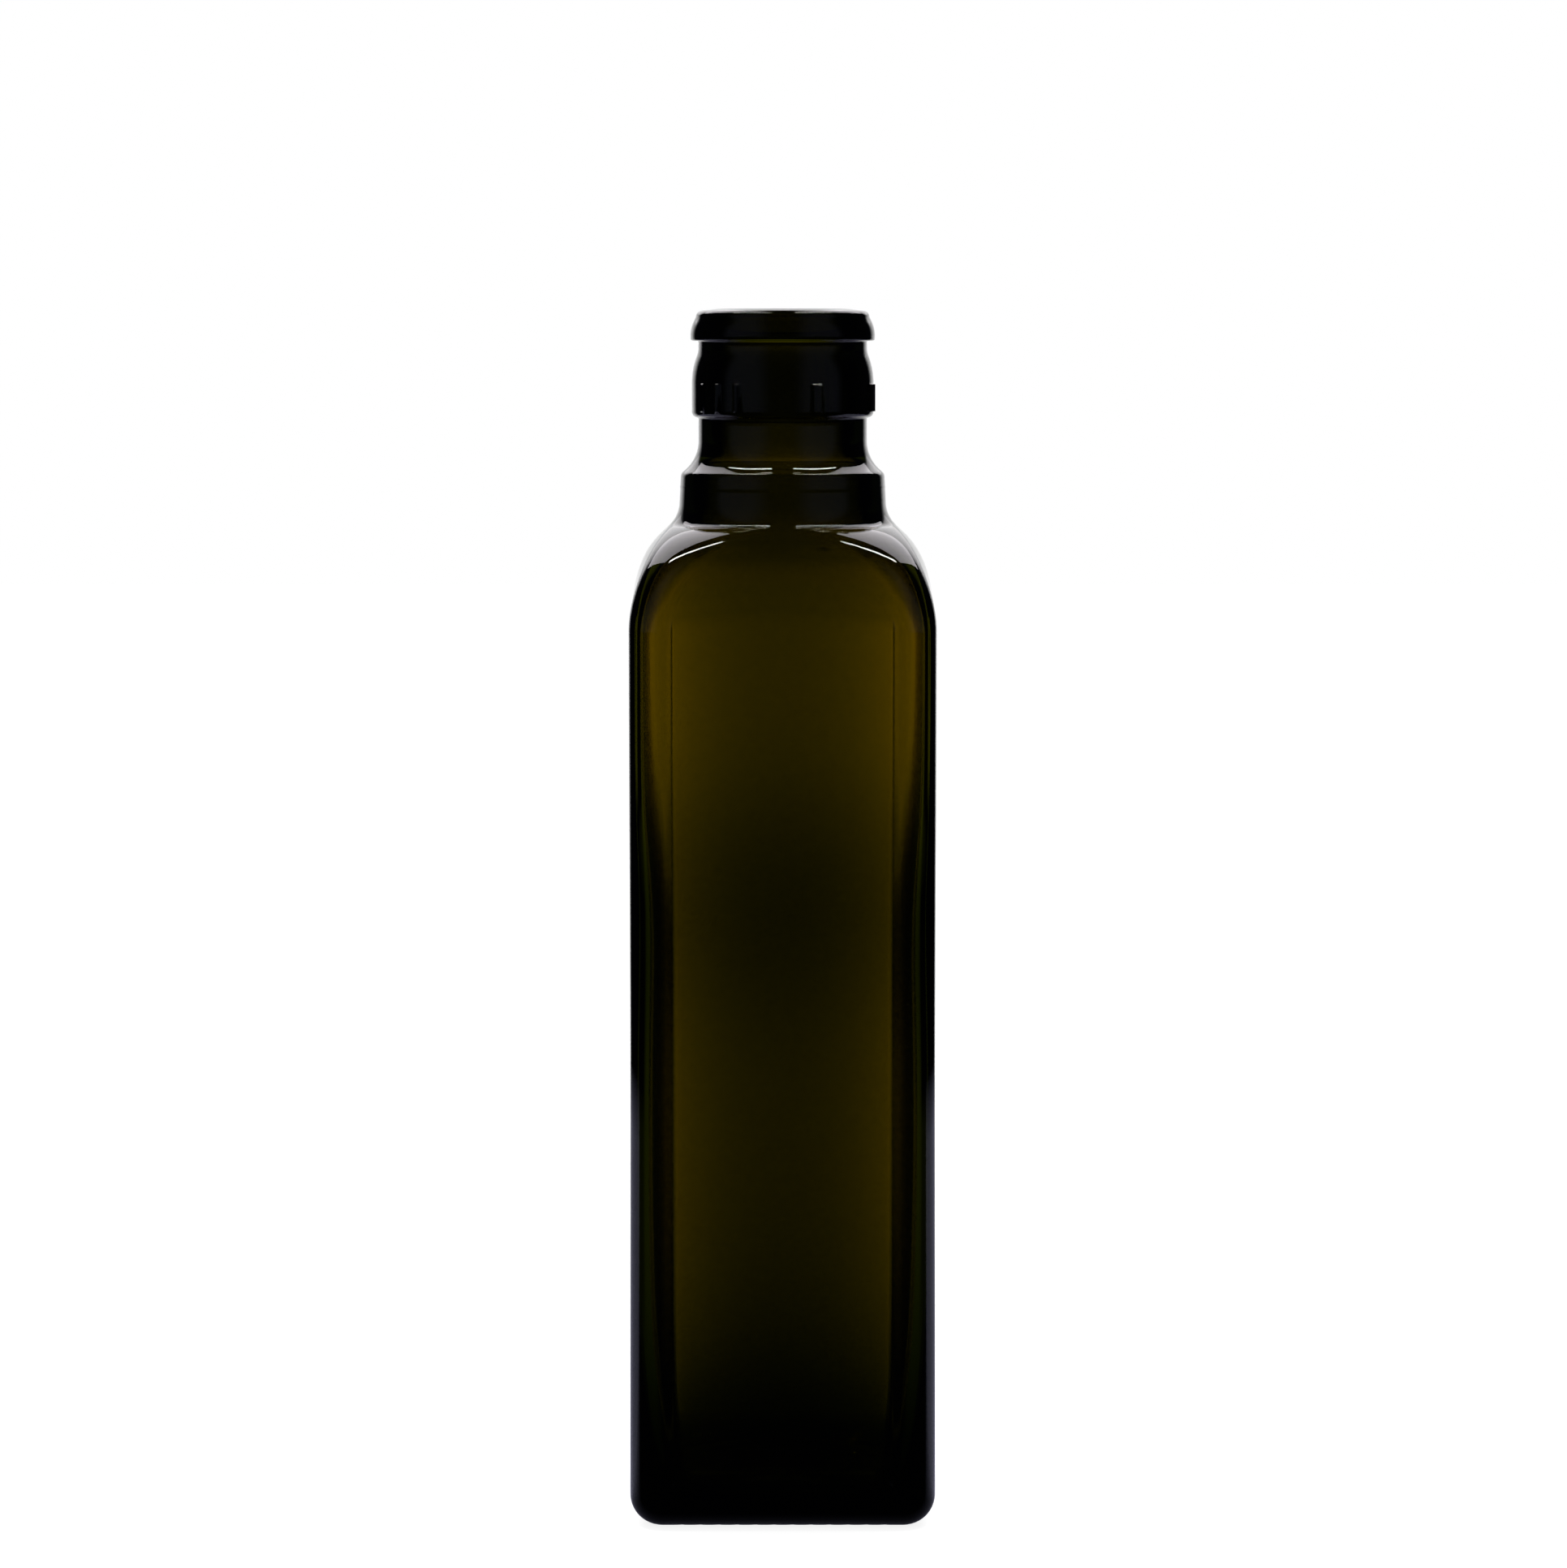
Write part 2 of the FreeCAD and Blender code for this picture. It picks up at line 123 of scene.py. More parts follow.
inside = {
    "collarWall": 4.9,
    "drawIn": 11.0,           # height over which the bore draws in from the collar to the neck
    "drawInRise": 2.2,        # it ends this far above the neck's foot
    "sweep": 9.0,
    "wallUpper": 2.3,
    "wallLower": 3.0,
    "changeHeight": 133.0,
    "changeSpread": 9.0,
    "bow": 1.25,              # the middle of each face is thicker by this much
    "settleWave": 0.45,       # thicker band left by the two-step blowing
    "settleBow": 0.2,
    "settleHeight": 120.0,
    "settleSpread": 23.0,
    "footWall": 5.8,          # glass gathered at the foot
    "footSpread": 15.0,
    "footBow": 1.6,
    "footBowSpread": 14.0,
    "cornerRadius": 3.4,
    "cornerGrowth": 2.0,      # wider corners in the lower body
    "shoulderWall": 1.0,
    "shoulderHeight": 19.75,
    "fullness": 14.0,
    "lead": 5.5,
    "baseThickness": 4.8,
    "heelRadius": 8.0,
    "floorBlend": 1.2,        # how softly the walls run into the floor
    "ripple": 0.06,           # waviness of the blown surface
    "rippleLength": 26.0,
    "rippleStretch": 0.45,    # less than 1 draws the waves out upwards
    "rippleFade": 20.0,       # it fades out over this below the mouth
    "fineRipple": 0.4,        # a second set, this much shorter and lower
    "fineStretch": 0.5,
}
base = {
    "bearingWidth": 8.75,
    "pushUpMargin": 2.0,
    "pushUpDepth": 3.2,
    "notchPitch": 3.6,
    "notchDepth": 0.25,
    "notchRadius": 2.2,
    "notchEnd": 1.0,          # the notches stop this short of the bearing's corner
    "notchLead": 0.3,         # and reach their depth over this
    "rimStart": 0.3,          # plain rim between the hollow and the notches
    "rimEnd": 0.2,
    "rimSquare": 0.86,        # how square it has become at the notches
    "heelLead": 1.0,          # flat part before the heel
    "leastCorner": 0.4,
}
# how fine the mesh is: stations round a section, rings and arc steps along it
steps = {
    "notch": 6,
    "corner": 9,              # in half an upright corner
    "cornerLead": 0.6,        # millimetres from the last station on a face to the corner
    "innerFace": 15,          # on half a face
    "pushUp": 12,
    "rim": 4,
    "heel": 14,
    "belowPanel": 0.6,        # millimetres from the panel's border to the next ring
    "abovePanel": 0.8,
    "wallFrom": 14.0,         # millimetres above the base
    "wallTo": 2.0,            # millimetres below the shoulder
    "wall": 20,
    "shoulder": 48,
    "shoulderCrowd": 1.35,    # more than 1 sets the rings closer at its foot
    "sweepArc": 8,
    "ledgeArc": 7,
    "edgeArc": 5,
    "cornerArc": 3,
    "grooveArc": 4,
    "lipSide": 5,
    "lipTop": (0.33, 0.67),   # rings on the flat top, as shares of its width from the edge
    "mouthArc": 2,
    "mouthFrom": 80.0,        # degrees, where the inside starts on the mouth's rounding
    "boreRings": 5,
    "boreLead": 4.0,          # millimetres below the mouth
    "boreEnd": 2.0,           # millimetres above the draw-in
    "innerArc": 7,
    "innerSweepArc": 9,
    "innerShoulder": 30,
    "innerWall": 40,
    "innerHeel": 10,
    "floor": 13,
    "floorSpare": 0.001,      # millimetres, keeps the floor's rings from shrinking to nothing
    "smoothMiddle": 1.0,      # millimetres from the axis, nearer than this has no ripple
    "slack": 0.01,            # millimetres, places this close count as the same
}

halfWidth = body["width"] / 2
flatHalf = halfWidth - body["cornerRadius"]
panelHalf = flatHalf - body["panelMargin"]
neckRadius = finish["bore"] + finish["neckWall"]
collarRadius = neckRadius + finish["collarProjection"]
collarBore = collarRadius - inside["collarWall"]
ringRadius = neckRadius + finish["ringProjection"]
lipRadius = neckRadius + finish["lipProjection"]
lipTopRadius = lipRadius - finish["lipTaper"]
bearingInner = halfWidth - base["bearingWidth"]
pushUpRadius = bearingInner - base["pushUpMargin"]
pushUpBall = (pushUpRadius ** 2 + base["pushUpDepth"] ** 2) / (2 * base["pushUpDepth"])
lipBottom = finish["top"] - finish["lipHeight"]
grooveBottom = lipBottom - finish["grooveHeight"]
ringTop = grooveBottom - finish["taperHeight"]
ringBottom = ringTop - finish["ringHeight"]
neckFoot = ringBottom - finish["neckHeight"]
innerFoot = inside["baseThickness"] + inside["heelRadius"]
innerStart = body["height"] - inside["shoulderWall"]
shoulderSlope = math.radians(shoulder["slope"])


def stationGrid(faceStations, cornerSteps):
    # stations of one eighth of a section: shares of the face, then of half a corner
    face = np.array(faceStations) / faceStations[-1]
    corner = np.arange(1, cornerSteps + 1) / cornerSteps
    return {"face": face, "corner": corner, "count": len(face) + cornerSteps - 1}


notchStep = base["notchPitch"] / steps["notch"]
plainSteps = int(panelHalf / notchStep)
outerGrid = stationGrid([notchStep * k for k in range(plainSteps)]
                        + [panelHalf, panelHalf + body["panelBevel"] / 2,
                           panelHalf + body["panelBevel"], flatHalf - steps["cornerLead"],
                           flatHalf], steps["corner"])
innerGrid = stationGrid([k / steps["innerFace"] for k in range(steps["innerFace"] + 1)],
                        outerGrid["count"] // 2 - steps["innerFace"])
print("stations round the outside", outerGrid["count"] * 8, "and inside", innerGrid["count"] * 8)


def octantAngles(grid, side, flat, bow, roundness):
    # polar angles of the stations, from along the face to even steps on a circle
    across = grid["face"] * flat
    out = side - bow * (1 - grid["face"] ** 2)
    turn = grid["corner"] * math.pi / 4
    corner = side - flat
    along = np.concatenate([np.arctan2(across, out),
                            np.arctan2(flat + corner * np.sin(turn),
                                       flat + corner * np.cos(turn))])
    even = np.linspace(0, math.pi / 4, grid["count"] + 1)
    return along * (1 - roundness) + even * roundness


def reachAt(angle, side, flat, bow):
    # distance from the axis to the section's edge at a polar angle within one eighth
    tangent = np.tan(angle)
    bend = bow * tangent ** 2 / max(flat, 1e-6) ** 2
    middle = side - bow
    root = np.sqrt(np.maximum(1 - 4 * bend * middle, 0))
    # a face without a bow has no bend, and the small numbers only keep it from dividing by 0
    swell = np.where(bend > 1e-9, (1 - root) / np.maximum(2 * bend, 1e-12), middle)
    onFace = swell / np.cos(angle)
    corner = side - flat
    toward = flat * (np.sin(angle) + np.cos(angle))
    onCorner = toward + np.sqrt(np.maximum(toward ** 2 - 2 * flat ** 2 + corner ** 2, 0))
    return np.where(angle <= math.atan2(flat, side), onFace, onCorner)


def sectionRing(grid, side, flat, bow, z, roundness, swell=0.0):
    # one closed ring as columns: along its face, out from the axis, height, face number
    # swell takes it part of the way to a circle, which rounds the faces too
    angle = octantAngles(grid, side, flat, bow, roundness)
    reach = reachAt(angle, side, flat, bow) * (1 - swell) + (side - bow) * swell
    count = grid["count"]
    order = np.concatenate([np.arange(count, 0, -1), np.arange(0, count)])
    sign = np.concatenate([-np.ones(count), np.ones(count)])
    along = np.tile(sign * reach[order] * np.sin(angle[order]), 4)
    out = np.tile(reach[order] * np.cos(angle[order]), 4)
    face = np.repeat(np.arange(4), 2 * count)
    return np.column_stack([along, out, np.full(len(along), float(z)), face])


def roundRing(grid, radius, z):
    return sectionRing(grid, radius, 0.0, 0.0, z, 1.0)


def arcPath(centreR, centreZ, radius, first, last, count):
    turns = [math.radians(first + (last - first) * k / count) for k in range(count + 1)]
    return [(centreR + radius * math.cos(t), centreZ + radius * math.sin(t)) for t in turns]


def bezierPath(face, start, height, fullness, lead, foot, count, crowd=1.0):
    # curve of a shoulder, from the top of a face to the foot of the collar's sweep
    slope = math.tan(shoulderSlope)
    poles = [(face, start), (face, start + fullness),
             (foot + lead, start + height - lead * slope), (foot, start + height)]
    path = []
    for k in range(count + 1):
        t = (k / count) ** crowd
        weights = [(1 - t) ** 3, 3 * t * (1 - t) ** 2, 3 * t * t * (1 - t), t ** 3]
        path.append(tuple(sum(w * p[axis] for w, p in zip(weights, poles)) for axis in (0, 1)))
    return path


def smoothMin(a, b, softness):
    blend = np.clip(0.5 + 0.5 * (b - a) / softness, 0, 1)
    return b * (1 - blend) + a * blend - softness * blend * (1 - blend)


def smoothStep(low, high, value):
    t = min(max((value - low) / (high - low), 0.0), 1.0)
    return t * t * (3 - 2 * t)


def waistAt(z):
    # how far the faces draw in
    return body["waist"] * math.exp(-((z - body["waistHeight"]) / body["waistSpread"]) ** 2)


def swellAt(part):
    # how far a shoulder's faces have rounded off, part of the way up
    return shoulder["swell"] * smoothStep(0.0, shoulder["swellEnd"], part)


def pressPanel(ring, z):
    # the label panel is pressed into each face and runs out on the shoulder
    depth, bevel = body["panelDepth"], body["panelBevel"]
    outside = np.maximum(np.abs(ring[:, 0]) - panelHalf, body["panelBottom"] - z)
    limit = halfWidth - waistAt(z) - depth + depth * np.maximum(outside, 0) / bevel
    ring[:, 1] = smoothMin(ring[:, 1], limit, body["edgeSoftness"])
    return ring


def notchBearing(ring):
    # round-bottomed notches in the underside, in line with each face
    pitch = base["notchPitch"]
    pairs = int((bearingInner - base["notchEnd"]) / pitch + 0.5)
    place = (np.abs(ring[:, 0]) / pitch) % 1.0
    offset = (place - 0.5) * pitch
    ball = base["notchRadius"]
    top = base["notchDepth"] - ball + np.sqrt(np.maximum(ball ** 2 - offset ** 2, 0))
    cut = (np.abs(ring[:, 0]) < pairs * pitch) & (ring[:, 1] > bearingInner - steps["slack"])
    ring[:, 2] = np.where(cut, np.maximum(ring[:, 2], top), ring[:, 2])
    return ring


def angleFromFront(ring):
    return np.degrees(np.arctan2(ring[:, 0], ring[:, 1])) + 90 * ring[:, 3]


def raiseLugs(ring, share):
    # ratchet teeth, drive lugs and the locating pad stand out from the ring
    angle = angleFromFront(ring)
    rise = np.zeros(len(ring))
    perDegree = math.radians(1) * ringRadius

    def gap(centre):
        return ((angle - centre + 180) % 360 - 180) * perDegree

    for side in (0, 180):
        for tooth in range(lugs["teeth"]):
            centre = lugs["centre"] + (tooth - (lugs["teeth"] - 1) / 2) * lugs["pitch"] + side
            away = gap(centre)
            slope = np.where(away < 0, 1 + away / lugs["toothBack"], 1 - away / lugs["toothRamp"])
            rise = np.maximum(rise, lugs["toothHeight"] * np.clip(slope, 0, 1))
    for centre in (lugs["driveAngle"], lugs["driveAngle"] + 180):
        flank = (lugs["driveWidth"] / 2 - np.abs(gap(centre))) / lugs["edge"]
        rise = np.maximum(rise, lugs["height"] * np.clip(flank, 0, 1))
    aside = np.radians(angle - lugs["padAngle"])
    flat = (ringRadius + lugs["height"]) / np.maximum(np.cos(aside), lugs["padFacing"])
    flank = (lugs["padWidth"] / 2 - np.abs(flat * np.sin(aside))) / lugs["edge"]
    onSide = np.where(np.cos(aside) > lugs["padFacing"], np.clip(flank, 0, 1), 0)
    rise = np.maximum(rise, (flat - ringRadius) * onSide)
    grow = 1 + rise * share / ringRadius
    ring[:, 0] *= grow
    ring[:, 1] *= grow
    return ring


def outerRings():
    rings = []

    def add(ring):
        rings.append(ring)

    # hollow of the base, from near its middle out to the bearing ring
    for r in np.linspace(0, pushUpRadius, steps["pushUp"] + 1)[1:]:
        height = base["pushUpDepth"] - pushUpBall + math.sqrt(pushUpBall ** 2 - r ** 2)
        add(roundRing(outerGrid, r, height))
    heel = body["heelRadius"]
    bearingEdge = halfWidth - heel
    rimStart = pushUpRadius + base["rimStart"]
    for k in range(1, steps["rim"] + 1):
        t = k / steps["rim"]
        side = rimStart + (bearingInner - base["rimEnd"] - rimStart) * t
        add(sectionRing(outerGrid, side, flatHalf * base["rimSquare"] * t, 0.0, 0.0, 1 - t))
    for side in (bearingInner, bearingInner + base["notchLead"], bearingEdge - base["heelLead"],
                 bearingEdge):
        flat = min(flatHalf, side - base["leastCorner"])
        add(notchBearing(sectionRing(outerGrid, side, flat, 0.0, 0.0, 0.0)))
    # heel and the four faces
    for k in range(1, steps["heel"] + 1):
        turn = math.radians(90 * k / steps["heel"])
        side = bearingEdge + heel * math.sin(turn)
        z = heel * (1 - math.cos(turn))
        flat = min(flatHalf, side - base["leastCorner"])
        draw = waistAt(z)
        add(notchBearing(sectionRing(outerGrid, side - draw, flat - draw, 0.0, z, 0.0)))
    bevelFoot = body["panelBottom"] - body["panelBevel"]
    heights = [bevelFoot - steps["belowPanel"], bevelFoot, bevelFoot + body["panelBevel"] / 2,
               body["panelBottom"], body["panelBottom"] + steps["abovePanel"]]
    heights += list(np.linspace(steps["wallFrom"], body["height"] - steps["wallTo"],
                                steps["wall"]))
    heights.append(body["height"])
    for z in heights:
        draw = waistAt(z)
        ring = sectionRing(outerGrid, halfWidth - draw, flatHalf - draw, 0.0, z, 0.0)
        add(pressPanel(ring, z))
    # shoulder: the corners grow until the section is a circle
    foot = collarRadius + shoulder["sweep"] * (1 - math.sin(shoulderSlope))
    path = bezierPath(halfWidth, body["height"], shoulder["height"], shoulder["fullness"],
                      shoulder["lead"], foot, steps["shoulder"], steps["shoulderCrowd"])
    for side, z in path[1:]:
        part = (z - body["height"]) / shoulder["height"]
        hold = ((z - body["height"]) / shoulder["archHeight"]) ** shoulder["cornerHold"]
        flat = flatHalf * math.sqrt(max(1 - hold, 0))
        draw = waistAt(z)
        ring = sectionRing(outerGrid, side - draw, max(flat - draw, 0), 0.0, z,
                           smoothStep(0.0, 1.0, part), swellAt(part))
        add(pressPanel(ring, z))
    for r, z in finishPath():
        ring = roundRing(outerGrid, r, z)
        low, high = ringBottom + finish["ringEdge"], ringTop
        if low - steps["slack"] <= z <= high + steps["slack"]:
            ring = raiseLugs(ring, min((z - low) / lugs["endRun"],
                                       (high - z) / lugs["endRun"], 1.0))
        add(ring)
    return rings


def finishPath():
    # collar, neck and pourer finish, from the top of the shoulder to the top of the lip
    slope, corner = finish["ledgeSlope"], finish["insideCorner"]
    collarFoot = body["height"] + shoulder["height"] + shoulder["sweep"] * math.cos(shoulderSlope)
    collarTop = collarFoot + finish["collarHeight"]
    path = arcPath(collarRadius + shoulder["sweep"], collarFoot, shoulder["sweep"],
                   180 + shoulder["slope"], 180, steps["sweepArc"])[1:]
    topRadius = collarRadius - finish["collarDraft"]
    seamAt = collarTop - finish["seamHeight"]
    for away in (-finish["seamMargin"], -finish["seamHalf"], 0, finish["seamHalf"],
                 finish["seamMargin"]):
        z, proud = seamAt + away, 0 if away else finish["seamProud"]
        share = (z - collarFoot) / finish["collarHeight"]
        path.append((collarRadius - finish["collarDraft"] * share + proud, z))
    edge = finish["collarEdge"]
    path += arcPath(topRadius - edge, collarTop, edge, 0, 90 - slope, steps["ledgeArc"])
    path += arcPath(neckRadius + finish["neckSweep"], neckFoot, finish["neckSweep"],
                    270 - slope, 180, steps["sweepArc"])
    path += [(neckRadius, ringBottom - finish["underRing"])]
    path += arcPath(neckRadius + corner, ringBottom - corner, corner, 180, 90, steps["cornerArc"])
    edge = finish["ringEdge"]
    path += arcPath(ringRadius - edge, ringBottom + edge, edge, -90, 0, steps["edgeArc"])
    path += [(ringRadius, ringBottom + edge + lugs["endRun"]),
             (ringRadius, ringTop - lugs["endRun"]), (ringRadius, ringTop)]
    lean = 2 * math.atan(finish["ringProjection"] / finish["taperHeight"])
    hollow = finish["grooveRadius"]
    big = finish["taperHeight"] / math.sin(lean) - hollow
    turn = math.degrees(lean)
    path += arcPath(ringRadius - big, ringTop, big, 0, turn, steps["sweepArc"])[1:]
    path += arcPath(neckRadius + hollow, grooveBottom, hollow, 180 + turn, 180,
                    steps["grooveArc"])[1:]
    path += arcPath(neckRadius + corner, lipBottom - corner, corner, 180, 90, steps["cornerArc"])
    edge = finish["lipLowerEdge"]
    path += arcPath(lipRadius - edge, lipBottom + edge, edge, -90, 0, steps["edgeArc"])
    edge = finish["lipEdge"]
    mouthR, mouthZ, sideHigh = lipTopCentres()
    sideLow = lipBottom + finish["lipLowerEdge"]
    for k in range(1, steps["lipSide"]):
        t = k / steps["lipSide"]
        swell = finish["lipSwell"] * 4 * t * (1 - t)
        path.append((lipRadius - finish["lipTaper"] * t + swell,
                     sideLow + (sideHigh - sideLow) * t))
    steep = 90 - finish["lipTopSlope"]
    path += arcPath(lipTopRadius - edge, sideHigh, edge, 0, steep, steps["sweepArc"])
    mouth = arcPath(mouthR, mouthZ, finish["mouthEdge"], steep, 90, steps["mouthArc"])
    (fromR, fromZ), (toR, toZ) = path[-1], mouth[0]
    path += [(fromR + (toR - fromR) * t, fromZ + (toZ - fromZ) * t) for t in steps["lipTop"]]
    return path + mouth


def lipTopCentres():
    # centre of the rounding at the mouth, and the height of the centre of the lip's edge
    slope = math.radians(finish["lipTopSlope"])
    mouthR, mouthZ = finish["bore"] + finish["mouthEdge"], finish["top"] - finish["mouthEdge"]
    edgeR = lipTopRadius - finish["lipEdge"]
    spare = (finish["lipEdge"] - finish["mouthEdge"]) / math.cos(slope)
    return mouthR, mouthZ, mouthZ - (edgeR - mouthR) * math.tan(slope) - spare


def settleShare(z):
    # how much of the settle band is felt at a height
    return math.exp(-((z - inside["settleHeight"]) / inside["settleSpread"]) ** 2)


def lowerShare(z):
    # 1 in the lower body and 0 in the upper
    return 1 / (1 + math.exp((z - inside["changeHeight"]) / inside["changeSpread"]))


def wallAt(z):
    # wall beside the corners
    foot = inside["footWall"] * math.exp(-z / inside["footSpread"])
    return (inside["wallUpper"] + (inside["wallLower"] - inside["wallUpper"]) * lowerShare(z)
            + inside["settleWave"] * settleShare(z) + foot)


def innerCornerAt(z):
    return inside["cornerRadius"] + inside["cornerGrowth"] * lowerShare(z)


def bowAt(z):
    # extra glass at the middle of a face
    return (inside["bow"] + inside["settleBow"] * settleShare(z)
            + inside["footBow"] * math.exp(-z / inside["footBowSpread"]))


def innerRings():
    # from the mouth down the bore and walls to the floor
    rings = []
    bore, edge = finish["bore"], finish["mouthEdge"]
    path = arcPath(bore + edge, finish["top"] - edge, edge, steps["mouthFrom"], 180,
                   steps["innerArc"])
    lean = 2 * math.atan((collarBore - bore) / inside["drawIn"])
    radius, turn = inside["drawIn"] / 2 / math.sin(lean), math.degrees(lean)
    drawInEnd = neckFoot + inside["drawInRise"]
    drawInStart = drawInEnd - inside["drawIn"]
    path += [(bore, z) for z in np.linspace(finish["top"] - steps["boreLead"],
                                            drawInEnd + steps["boreEnd"], steps["boreRings"])]
    path += arcPath(bore + radius, drawInEnd, radius, 180, 180 + turn, steps["innerArc"])
    path += arcPath(collarBore - radius, drawInStart, radius, turn, 0, steps["innerArc"])[1:]
    top = innerStart + inside["shoulderHeight"]
    sweepTop = top + inside["sweep"] * math.cos(shoulderSlope)
    path += [(collarBore, (drawInStart + sweepTop) / 2)]
    path += arcPath(collarBore + inside["sweep"], sweepTop, inside["sweep"], 180,
                    180 + shoulder["slope"], steps["innerSweepArc"])[:-1]
    for r, z in path:
        rings.append(roundRing(innerGrid, r, z))
    # shoulder
    bow = bowAt(innerStart)
    innerFace = halfWidth - wallAt(innerStart) - bow
    foot = collarBore + inside["sweep"] * (1 - math.sin(shoulderSlope))
    dome = bezierPath(innerFace, innerStart, inside["shoulderHeight"], inside["fullness"],
                      inside["lead"], foot, steps["innerShoulder"])
    flatStart = innerFace + bow - innerCornerAt(innerStart)
    for face, z in reversed(dome[1:]):
        part = (z - innerStart) / inside["shoulderHeight"]
        fade = math.sqrt(max(1 - part * part, 0))
        rings.append(sectionRing(innerGrid, face + bow * fade, flatStart * fade, bow * fade, z,
                                 smoothStep(0.0, 1.0, part), swellAt(part)))
    # walls
    for z in np.linspace(innerStart, innerFoot, steps["innerWall"]):
        side = halfWidth - wallAt(z)
        rings.append(sectionRing(innerGrid, side, side - innerCornerAt(z), bowAt(z), z, 0.0))
    # heel of the inside and the floor over the push-up
    heel, bow = inside["heelRadius"], bowAt(innerFoot)
    side = halfWidth - wallAt(innerFoot)
    flat = side - innerCornerAt(innerFoot)
    for k in range(1, steps["innerHeel"] + 1):
        turn = math.radians(90 * k / steps["innerHeel"])
        inward = heel * (1 - math.cos(turn))
        z = innerFoot - heel * math.sin(turn)
        rings.append(sectionRing(innerGrid, side - inward, flat - inward, bow, z, 0.0))
    rim = side - heel
    for k in range(1, steps["floor"] + 1):
        share = k / (steps["floor"] + 1)
        left = 1 - share
        fade = math.sqrt(1 - share * share)
        rings.append(sectionRing(innerGrid, rim * left + steps["floorSpare"],
                                 (flat - heel) * left * fade, bow * left * fade,
                                 innerFoot - heel, share))
    ballTop = base["pushUpDepth"] + inside["baseThickness"]
    shell = pushUpBall + inside["baseThickness"]
    for ring in rings[-(steps["innerHeel"] + steps["floor"]):]:
        away = np.hypot(ring[:, 0], ring[:, 1])
        floor = ballTop - shell + np.sqrt(np.maximum(shell ** 2 - away ** 2, 0))
        ring[:, 2] = -smoothMin(-ring[:, 2], -floor, inside["floorBlend"])
    return rings


def toPoints(ring):
    # turn each quarter to its own side of the bottle
    turn = ring[:, 3] * math.pi / 2
    x = ring[:, 0] * np.cos(turn) + ring[:, 1] * np.sin(turn)
    y = ring[:, 0] * np.sin(turn) - ring[:, 1] * np.cos(turn)
    return np.column_stack([x, y, ring[:, 2]])


def rippleInside(points, first):
    # the blown inside is slightly wavy, the moulded outside is not
    length, fine = inside["rippleLength"], inside["fineRipple"]
    fadeFoot = finish["top"] - inside["rippleFade"]
    for index in range(first, len(points)):
        x, y, z = points[index]
        away = math.hypot(x, y)
        if away < steps["smoothMiddle"]:
            continue
        fade = smoothStep(finish["top"], fadeFoot, z) if z > fadeFoot else 1.0
        swell = noise.noise(Vector((x, y, z * inside["rippleStretch"])) / length)
        swell += fine * noise.noise(Vector((x, y, z * inside["fineStretch"])) / (length * fine))
        grow = 1 + inside["ripple"] * swell * fade / away
        points[index] = (x * grow, y * grow, z)


def bottleMesh():
    # both skins, joined at the mouth and closed in the middle of the base
    outer, inner = outerRings(), innerRings()
    count, half = outerGrid["count"] * 8, innerGrid["count"] * 8
    outerPoints = np.concatenate([toPoints(ring) for ring in outer])
    innerPoints = np.concatenate([toPoints(ring) for ring in inner])
    points = [tuple(p) for p in outerPoints] + [tuple(p) for p in innerPoints]
    rippleInside(points, len(outerPoints))
    innerFirst = len(outerPoints)
    faces = []
    for row in range(len(outer) - 1):
        low, high = row * count, (row + 1) * count
        for k in range(count):
            n = (k + 1) % count
            faces.append((low + k, low + n, high + n, high + k))
    # the top of the lip, where two outer stations meet one inner station
    last = (len(outer) - 1) * count
    for k in range(half):
        n = (k + 1) % half
        a, b, c = last + 2 * k, last + (2 * k + 1) % count, last + (2 * k + 2) % count
        faces.append((a, b, innerFirst + k))
        faces.append((b, innerFirst + n, innerFirst + k))
        faces.append((b, c, innerFirst + n))
    for row in range(len(inner) - 1):
        low, high = innerFirst + row * half, innerFirst + (row + 1) * half
        for k in range(half):
            n = (k + 1) % half
            faces.append((low + k, low + n, high + n, high + k))
    # close the two middles
    under = len(points)
    points.append((0.0, 0.0, base["pushUpDepth"]))
    floor = len(points)
    points.append((0.0, 0.0, base["pushUpDepth"] + inside["baseThickness"]))
    lastInner = innerFirst + (len(inner) - 1) * half
    for k in range(count):
        faces.append((under, (k + 1) % count, k))
    for k in range(half):
        faces.append((floor, lastInner + k, lastInner + (k + 1) % half))
    mesh = bpy.data.meshes.new("bottleGlass")
    mesh.from_pydata([Vector(p) * mm for p in points], [], faces)
    mesh.validate()
    mesh.update()
    return mesh


glass = {
    "roughness": (0.012, 0.03),
    "smudge": 60.0,                  # size of the duller patches, in repeats per metre
    "smudgeDetail": 3.0,
    "smudgeRange": (0.35, 0.7),      # the pattern's values at the clearest and the dullest
    "wave": 70.0,                    # slow waviness of the moulded surface
    "waveHeight": 0.00002,           # metres
    "waveDetail": 1.0,
    "grain": 1400.0,                 # fine mould grain
    "grainHeight": 0.0000012,
    "grainDetail": 2.0,
    "ior": 1.52,
    "tint": (1.0, 0.64, 0.35),       # warmer where the wall is thin
    "absorb": (0.653, 0.70, 0.06),   # colour that passes, for the density below
    "density": 1700.0,               # per metre of glass
}


